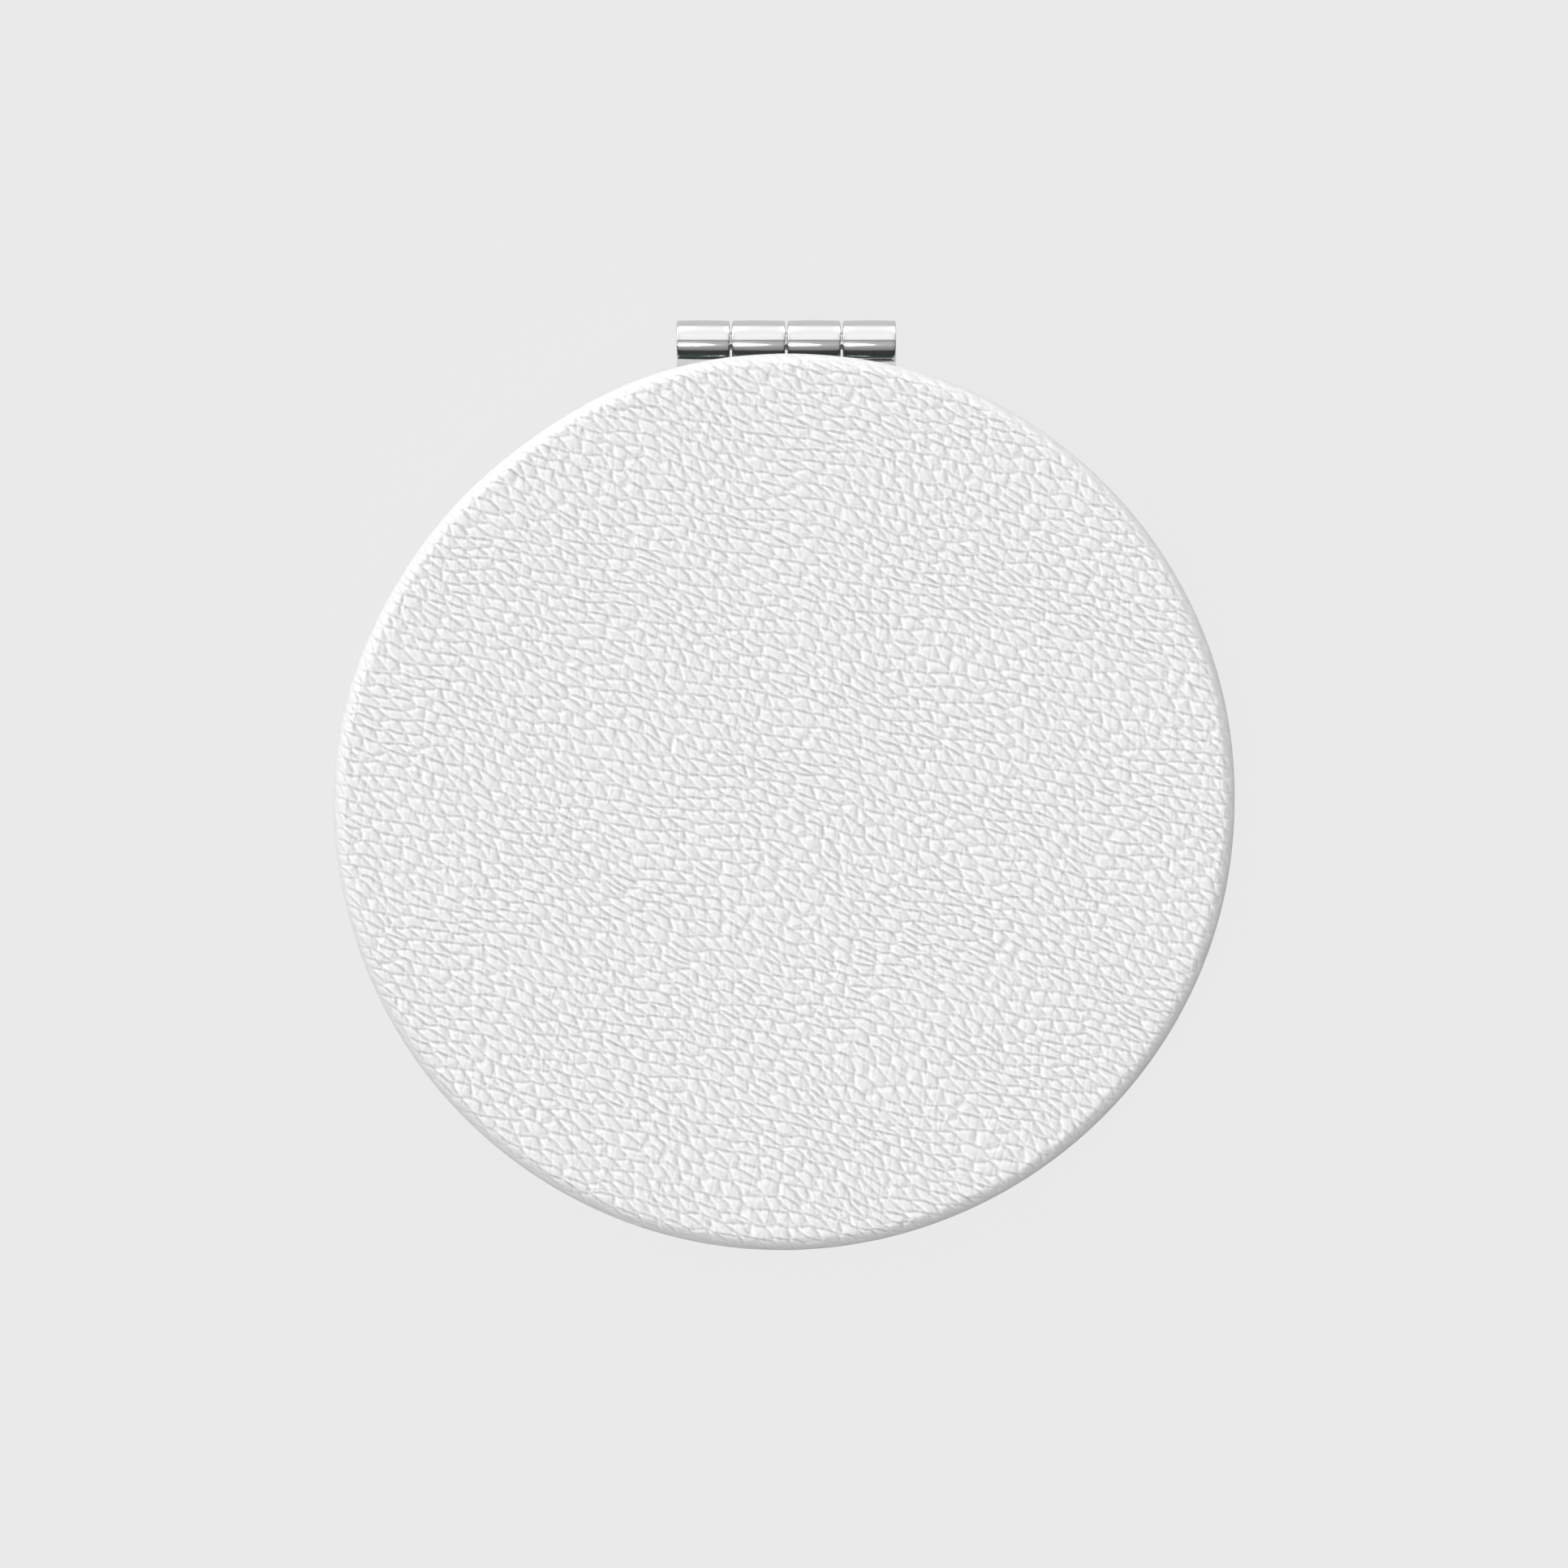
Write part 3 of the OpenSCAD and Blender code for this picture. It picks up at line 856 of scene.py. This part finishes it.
def blank(bm, outlines, side, bevel):
    """Fills the outlines, thickens the face from the facing's level to the hem's and bevels it."""
    rim = []
    for points in outlines:
        corners = [bm.verts.new((x, y, AXIS.z + side * facing_d)) for x, y in points]
        rim += [bm.edges.new((corners[index - 1], corner)) for index, corner in enumerate(corners)]
    bmesh.ops.triangle_fill(bm, edges=rim, use_beauty=True)
    grown = bmesh.ops.extrude_face_region(bm, geom=bm.faces[:])["geom"]
    corners = [part for part in grown if isinstance(part, bmesh.types.BMVert)]
    bmesh.ops.translate(bm, verts=corners, vec=(0, 0, side * (hem_d - facing_d)))
    bmesh.ops.recalc_face_normals(bm, faces=bm.faces)
    sharp = [edge for edge in bm.edges if edge.calc_face_angle() > BEVEL_FROM
             and abs(edge.verts[0].co.z - edge.verts[1].co.z) < LEVEL_FIT]
    bmesh.ops.bevel(bm, geom=sharp, offset=bevel, segments=BEVEL_STEPS, profile=0.5,
                    affect="EDGES", material=-1, clamp_overlap=True)


def flatten(piece):
    """Marks the border of the flat faces as sharp, so that they shade flat beside the bevel."""
    bm = bmesh.new()
    bm.from_mesh(piece.data)
    for edge in bm.edges:
        flat = [abs(face.normal.z) > FLAT_FROM for face in edge.link_faces]
        edge.smooth = edge.smooth and (all(flat) or not any(flat))
    bm.to_mesh(piece.data)
    bm.free()
    return piece


# %% [markdown]
# ## Facing rings
# A ring of thinner leather hides the folded hem and the edge of the glass. It is lining leather,
# so it is smoother than the cover: the pebbles are faint and the pores show. A creasing iron has
# pressed a line beside the window, and the cut edges show the paler core of the hide.

# %% Make the facing rings
NOTCH_FIT = 0.12 * MM
NOTCH_ROUND = 0.92 * MM
CREASE_LINE = 0.9 * MM
RING_BEVEL = 0.1 * MM
RING_STEPS = 180
LINE_WIDTH = 0.1 * MM
LINING_PORES = 0.3 * MM
# Heights in millimetres
PEBBLE_RISE = 0.012
PORE_RISE = 0.006
LINE_RISE = -0.05
PORE_SHADE_TONE = colour("#DBDBDA")
LINING_TONE = colour("#E8E8E7")
LINE_TONE = colour("#C8C8C7")
LINING_ROUGHNESS = 0.55

leaf_low, leaf_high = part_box("lid_hinge_leaf")
leaf_half = leaf_high.x
leaf_y = leaf_low.y


def lining_leather():
    """Smooth leather with pores and a creased line. Its cut edges show the core of the hide."""
    material, tree, shader = new_material("smooth_lining_leather")
    place = add(tree, "ShaderNodeTexCoord").outputs["Object"]
    grain = add(tree, "ShaderNodeGroup", {"Hide": place}, node_tree=shader_grain).outputs
    dots = add(tree, "ShaderNodeTexVoronoi", {"Vector": place, "Scale": 1 / LINING_PORES})
    pore = add(tree, "ShaderNodeMapRange", {
        "Value": dots, "From Min": 0.06, "From Max": 0.24}, **SMOOTH)
    level = add(tree, "ShaderNodeVectorMath", {0: place, 1: (1, 1, 0)}, operation="MULTIPLY")
    radius = add(tree, "ShaderNodeVectorMath", {0: level}, operation="LENGTH")
    line = bell(tree, radius, window_r + CREASE_LINE, LINE_WIDTH)
    height = total(tree, [(grain["Pebble"], PEBBLE_RISE), (pore, PORE_RISE), (line, LINE_RISE)])
    bump = add(tree, "ShaderNodeBump", {"Strength": 1.0, "Distance": MM, "Height": height})
    # Painted shade: the pits of the pores are darker than the lining round them
    tone = add(tree, "ShaderNodeMix", {0: pore, MIX_A: PORE_SHADE_TONE, MIX_B: LINING_TONE}, **COLOURS)
    tone = add(tree, "ShaderNodeMix", {0: line, MIX_A: tone, MIX_B: LINE_TONE}, **COLOURS)
    normal = add(tree, "ShaderNodeTexCoord").outputs["Normal"]
    up = add(tree, "ShaderNodeSeparateXYZ", {0: normal}).outputs["Z"]
    facing = add(tree, "ShaderNodeMath", {0: up}, operation="ABSOLUTE")
    skin = add(tree, "ShaderNodeMapRange", {
        "Value": facing, "From Min": 0.2, "From Max": 0.7}, **SMOOTH)
    whole = add(tree, "ShaderNodeMix", {0: skin, MIX_A: FLESH_TONE, MIX_B: tone}, **COLOURS)
    connect(tree, shader, {"Base Color": whole, "Roughness": LINING_ROUGHNESS, "Normal": bump})
    return material


def facing_outlines():
    """The ring's outer outline with its notch, and its window."""
    half_width = leaf_half + NOTCH_FIT
    start = math.degrees(math.acos(half_width / facing_r))
    outer = arc(0, 0, facing_r, start, start - 360 + 2 * (90 - start), RING_STEPS)
    outer += tongue(half_width, leaf_y - NOTCH_FIT, NOTCH_ROUND)
    return [outer, arc(0, 0, window_r, 0, 360, RING_STEPS)[1:]]


lining = lining_leather()
for body, side in HALVES.items():
    bm = bmesh.new()
    blank(bm, facing_outlines(), side, RING_BEVEL)
    ring = flatten(finished_piece(bm, body + "_facing", lining))
    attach(ring, body)
    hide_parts(body + "_facing_ring")

# %% [markdown]
# ## Polished chrome
# The hinge is cast zinc, polished, then plated with nickel and a thin layer of chromium. Such a
# plate is a smooth mirror with the faintest blue cast. Under the gloss stay the long, shallow
# marks of the polishing wheel, which run along the barrel and soften what the barrel reflects.
# The pin and the rivets are steel off a lathe, with rings round their own axis.

# %% Chrome and steel
CHROME_TONE = colour("#EEEEEF")
WHEEL_PITCH = 0.5 * MM
WHEEL_DEPTH = 0.012 * MM
WHEEL_STRETCH = (0.3, 1, 1)
STEEL_TONE = colour("#E8E9EB")
# The rings of a lathe are finer than this, and are drawn as coarse as they need to show
TURN_PITCH = 0.09 * MM
TURN_DEPTH = 0.004 * MM
RIVET_ROUGHNESS = 0.12
PIN_ROUGHNESS = 0.34


def polished_chrome():
    """A mirror of metal, softened by the marks of the wheel."""
    material, tree, shader = new_material("polished_chrome_plate")
    place = add(tree, "ShaderNodeTexCoord").outputs["Object"]
    along = add(tree, "ShaderNodeVectorMath", {0: place, 1: WHEEL_STRETCH}, operation="MULTIPLY")
    wheel = add(tree, "ShaderNodeTexNoise", {
        "Vector": along, "Scale": 1 / WHEEL_PITCH, "Detail": 3.0})
    bump = add(tree, "ShaderNodeBump", {"Strength": 0.25, "Distance": WHEEL_DEPTH, "Height": wheel})
    rough = add(tree, "ShaderNodeMapRange", {
        "Value": wheel, "From Min": 0.3, "From Max": 0.7, "To Min": 0.05, "To Max": 0.10})
    connect(tree, shader, {
        "Base Color": CHROME_TONE, "Metallic": 1.0, "Roughness": rough, "Normal": bump})
    return material


def turned_steel(name, weights, roughness):
    """Steel off a lathe. The weights say which axes count in the distance that the rings follow."""
    material, tree, shader = new_material(name)
    place = add(tree, "ShaderNodeTexCoord").outputs["Object"]
    mirrored = add(tree, "ShaderNodeVectorMath", {0: place}, operation="ABSOLUTE")
    from_axis = add(tree, "ShaderNodeVectorMath", {
        0: mirrored, 1: (RIVET.x, RIVET.y, 0)}, operation="SUBTRACT")
    kept = add(tree, "ShaderNodeVectorMath", {0: from_axis, 1: weights}, operation="MULTIPLY")
    far = add(tree, "ShaderNodeVectorMath", {0: kept}, operation="LENGTH")
    turns = add(tree, "ShaderNodeMath", {0: far, 1: 2 * math.pi / TURN_PITCH},
                operation="MULTIPLY")
    rings = add(tree, "ShaderNodeMath", {0: turns}, operation="SINE")
    bump = add(tree, "ShaderNodeBump", {"Strength": 0.5, "Distance": TURN_DEPTH, "Height": rings})
    rough = add(tree, "ShaderNodeMapRange", {
        "Value": rings, "From Min": -1.0, "To Min": roughness, "To Max": roughness + 0.08})
    connect(tree, shader, {
        "Base Color": STEEL_TONE, "Metallic": 1.0, "Roughness": rough, "Normal": bump})
    return material


rivet_low, rivet_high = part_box("lid_rivet_right")
RIVET = (rivet_low + rivet_high) / 2
rivet_r = (rivet_high.x - rivet_low.x) / 2
chrome = polished_chrome()
rivet_steel = turned_steel("turned_steel_rivet", (1, 1, 0), RIVET_ROUGHNESS)
pin_steel = turned_steel("turned_steel_pin", (1, 0, 0), PIN_ROUGHNESS)
print("The rivets are %.2f mm thick" % (2 * rivet_r / MM))

# %% [markdown]
# ## The hinge
# Four knuckles share the barrel by turns. Each leaf is cast in one piece: a plate that lies flush
# in the facing, and two knuckles. A knuckle is made by spinning its section round the pin's axis.
# Polishing takes a little more off near its ends, so it is very slightly barrel-shaped, and the
# soft box ends softly on it instead of at a hard line. A cylinder with a bevel would show it as
# one straight streak.

# %% Make the hinge leaves
KNUCKLES = 4
KNUCKLE_GAP = 0.18 * MM
KNUCKLE_ROUND = 0.15 * MM
KNUCKLE_CROWN = 0.04 * MM
CROWN_STEPS = 10
ROUND_STEPS = 4
SPIN_STEPS = 96
HOLE_STEPS = 48
LEAF_ROUND = 0.8 * MM
LEAF_BEVEL = 0.06 * MM
RIVET_FIT = 0.02 * MM
ARM_REACH = 1.2 * MM

barrel_r = leaf_high.y - AXIS.y
pitch = (2 * leaf_half + KNUCKLE_GAP) / KNUCKLES
# The base's knuckles grip the pin, and the lid's turn on it
BORES = {"lid": 0.73 * MM, "base": 0.70 * MM}
OWN_KNUCKLES = {"lid": (0, 2), "base": (1, 3)}


def knuckle(bm, start, bore):
    """Spins the section of one knuckle round the hinge's axis."""
    end = start + pitch - KNUCKLE_GAP
    middle, half = (start + end) / 2, (end - start) / 2
    flat = half - KNUCKLE_ROUND
    shoulder = barrel_r - KNUCKLE_CROWN - KNUCKLE_ROUND
    points = arc(middle - flat, shoulder, KNUCKLE_ROUND, 180, 90, ROUND_STEPS)
    for step in range(1, CROWN_STEPS):
        off = 2 * step / CROWN_STEPS - 1
        points.append((middle + off * flat, barrel_r - KNUCKLE_CROWN * off * off))
    points += arc(middle + flat, shoulder, KNUCKLE_ROUND, 90, 0, ROUND_STEPS)
    points += [(end, bore), (start, bore)]
    corners = [bm.verts.new((x, AXIS.y, AXIS.z + radius)) for x, radius in points]
    loop = [bm.edges.new((corners[index - 1], corner)) for index, corner in enumerate(corners)]
    bmesh.ops.spin(bm, geom=corners + loop, cent=AXIS, axis=(1, 0, 0), angle=2 * math.pi,
                   steps=SPIN_STEPS, use_merge=True)


def leaf_outlines(own):
    """The plate's outline, with an arm to each knuckle of its own, and its two rivet holes."""
    outer = tongue(leaf_half, leaf_y, LEAF_ROUND)
    for index in reversed(range(KNUCKLES)):
        start = index * pitch - leaf_half
        reach = ARM_REACH if index in own else barrel_r + KNUCKLE_GAP
        left = start if index in own else start - KNUCKLE_GAP
        right = left + pitch + (-KNUCKLE_GAP if index in own else KNUCKLE_GAP)
        left, right = max(left, -leaf_half), min(right, leaf_half)
        outer += [(right, AXIS.y - reach), (left, AXIS.y - reach)]
    hole_r = rivet_r + RIVET_FIT
    holes = [arc(x, RIVET.y, hole_r, 0, 360, HOLE_STEPS)[1:] for x in (-RIVET.x, RIVET.x)]
    return [outer, *holes]


for body, side in HALVES.items():
    own = OWN_KNUCKLES[body]
    bm = bmesh.new()
    blank(bm, leaf_outlines(own), side, LEAF_BEVEL)
    for index in own:
        knuckle(bm, index * pitch - leaf_half, BORES[body])
    leaf = flatten(finished_piece(bm, body + "_leaf", chrome))
    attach(leaf, body)
    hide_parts(body + "_hinge_leaf")

# %% [markdown]
# ## The parts that keep their CAD shape
# Mirrors, trays, tapes, magnets, rivets and the pin are right as they are, so they only get their
# finish. A mirror is float glass with silver behind it. Its face is a nearly perfect mirror, its
# ground edge is green and its back is painted grey. The trays are ABS with the fine texture of
# the mould, the magnets are sintered and nickel-plated, and the tape is acrylic foam.

# %% Finishes for the kept parts
MIRROR_TONE = colour("#D8DAD9")
GLASS_EDGE = colour("#7FA898")
GLASS_BACK = colour("#8A8D90")
GROUND_ROUGHNESS = 0.4
HAZE_PITCH = 9 * MM


def silvered_glass(name, side):
    """A mirror whose face looks towards the plane where the halves meet."""
    material, tree, shader = new_material(name)
    spots = add(tree, "ShaderNodeTexCoord").outputs
    up = add(tree, "ShaderNodeSeparateXYZ", {0: spots["Normal"]}).outputs["Z"]
    toward = add(tree, "ShaderNodeMath", {0: up, 1: -side}, operation="MULTIPLY")
    face = add(tree, "ShaderNodeMapRange", {
        "Value": toward, "From Min": 0.75, "From Max": 0.95}, **SMOOTH)
    back = add(tree, "ShaderNodeMapRange", {
        "Value": toward, "From Min": -0.5, "From Max": -0.9}, **SMOOTH)
    haze = add(tree, "ShaderNodeTexNoise", {
        "Vector": spots["Object"], "Scale": 1 / HAZE_PITCH, "Detail": 4.0})
    film = add(tree, "ShaderNodeMapRange", {
        "Value": haze, "From Min": 0.35, "From Max": 0.75, "To Min": 0.006, "To Max": 0.03})
    tone = add(tree, "ShaderNodeMix", {0: back, MIX_A: GLASS_EDGE, MIX_B: GLASS_BACK}, **COLOURS)
    tone = add(tree, "ShaderNodeMix", {0: face, MIX_A: tone, MIX_B: MIRROR_TONE}, **COLOURS)
    rough = add(tree, "ShaderNodeMix", {0: face, 2: GROUND_ROUGHNESS, 3: film})
    connect(tree, shader, {"Base Color": tone, "Metallic": face, "Roughness": rough})
    return material


def speckled(name, tones, pitch, depth, roughness, metallic=0.0):
    """A plain material whose tone and surface vary at one pitch, in millimetres."""
    material, tree, shader = new_material(name)
    place = add(tree, "ShaderNodeTexCoord").outputs["Object"]
    grain = add(tree, "ShaderNodeTexNoise", {
        "Vector": place, "Scale": 1 / (pitch * MM), "Detail": 3.0})
    spread = add(tree, "ShaderNodeMapRange", {
        "Value": grain, "From Min": 0.3, "From Max": 0.7}, **SMOOTH)
    tone = add(tree, "ShaderNodeMix", {
        0: spread, MIX_A: colour(tones[0]), MIX_B: colour(tones[1])}, **COLOURS)
    bump = add(tree, "ShaderNodeBump", {"Strength": 0.6, "Distance": depth * MM, "Height": grain})
    rough = add(tree, "ShaderNodeMapRange", {
        "Value": spread, "To Min": roughness, "To Max": roughness + 0.1})
    connect(tree, shader, {
        "Base Color": tone, "Metallic": metallic, "Roughness": rough, "Normal": bump})
    return material


tray_plastic = speckled("moulded_abs", ("#C6C6C1", "#CECEC9"), 0.14, 0.012, 0.48)
magnet_plate = speckled("nickel_plated_magnet", ("#B5B1A8", "#C4C1BA"), 0.2, 0.006, 0.2, 1.0)
foam_tape = speckled("acrylic_foam_tape", ("#4E5155", "#64676B"), 0.12, 0.03, 0.85)
shared = {"tray": tray_plastic, "magnet": magnet_plate, "mirror_tape": foam_tape,
          "rivet_left": rivet_steel, "rivet_right": rivet_steel}
finishes = {"hinge_pin": pin_steel}
for body, side in HALVES.items():
    finishes[body + "_mirror"] = silvered_glass("silvered_glass_" + body, side)
    for name, finish in shared.items():
        finishes[body + "_" + name] = finish
for name, finish in finishes.items():
    for holder in nodes[name].material_slots:
        holder.material = finish
for body in HALVES:
    for name in ("tray", "rivet_left", "rivet_right"):
        nodes[body + "_" + name].visible_glossy = False
print("Finished", len(finishes), "kept parts")
